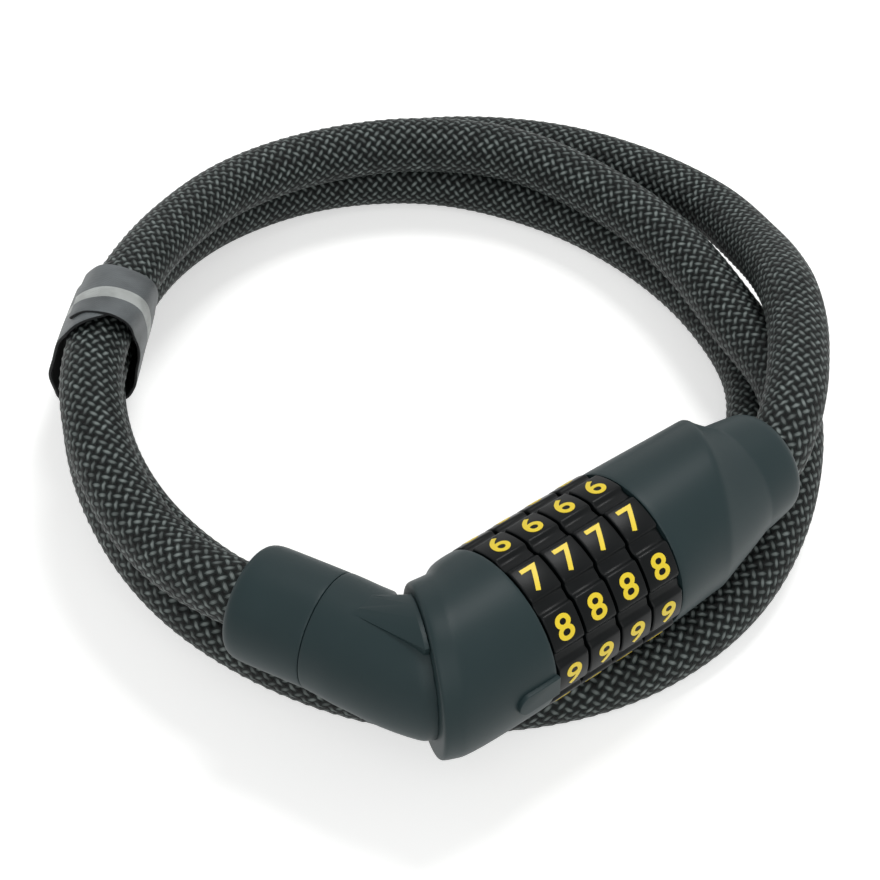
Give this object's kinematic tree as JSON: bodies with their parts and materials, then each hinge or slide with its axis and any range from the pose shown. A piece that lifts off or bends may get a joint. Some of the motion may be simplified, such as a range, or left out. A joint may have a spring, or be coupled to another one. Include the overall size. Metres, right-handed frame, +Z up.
{
  "type": "combination cable lock",
  "caption": "Combination cable lock with number dials on a barrel, an elbow plug that draws out of the front, and a coiled braided cable held by a strap.",
  "frame": {"origin": "on the lock's axis, at the front face of the rear cover, 28 mm above the ground that the coiled cable lies on", "axes": "+X along the lock's axis from the dials to the rear cable collar, +Y level, towards the coiled cable, +Z up"},
  "size_m": [0.166, 0.1752, 0.0434],
  "materials": {
    "shell": "satin soft-touch cover, charcoal green-grey",
    "dial": "satin-gloss black moulding",
    "zinc": "bare die-cast zinc, dull",
    "steel": "turned and hardened steel",
    "rope": "stranded steel rope",
    "brass": "turned brass",
    "sleeve": "braided sleeve over plastic-coated steel rope",
    "strap": "grey reflective hook-and-loop strap"
  },
  "bodies": {
    "lock_body": {"front_cover": "shell", "rear_cover": "shell", "barrel": "zinc", "rear_core": "zinc", "barrel_pin": "steel", "cable_pin": "steel", "rear_ferrule": "steel", "rear_rope_end": "rope", "spring_washer": "steel", "detent_balls": "steel", "detent_springs": "steel", "cable_coil": "sleeve", "strap": "strap"},
    "dial_body_1": {"dial_1": "dial", "code_ring_1": "brass"},
    "dial_body_2": {"dial_2": "dial", "code_ring_2": "brass"},
    "dial_body_3": {"dial_3": "dial", "code_ring_3": "brass"},
    "dial_body_4": {"dial_4": "dial", "code_ring_4": "brass"},
    "plug": {"elbow_cover": "shell", "elbow_collar": "shell", "elbow_core": "zinc", "locking_bolt": "steel", "bolt_pin": "steel", "plug_ferrule": "steel", "plug_rope_end": "rope", "cable_tail": "sleeve"}
  },
  "joints": [
    {"name": "dial_1_turn", "type": "hinge", "parent": "lock_body", "child": "dial_body_1", "pos_m": [-0.0252, 0, 0], "axis": [1, 0, 0], "continuous": true},
    {"name": "dial_2_turn", "type": "hinge", "parent": "lock_body", "child": "dial_body_2", "pos_m": [-0.018, 0, 0], "axis": [1, 0, 0], "continuous": true},
    {"name": "dial_3_turn", "type": "hinge", "parent": "lock_body", "child": "dial_body_3", "pos_m": [-0.0108, 0, 0], "axis": [1, 0, 0], "continuous": true},
    {"name": "dial_4_turn", "type": "hinge", "parent": "lock_body", "child": "dial_body_4", "pos_m": [-0.0036, 0, 0], "axis": [1, 0, 0], "continuous": true},
    {"name": "plug_draw", "type": "slide", "parent": "lock_body", "child": "plug", "axis": [-1, 0, 0], "range_m": [0, 0.038], "deforming": ["cable_tail"]}
  ]
}
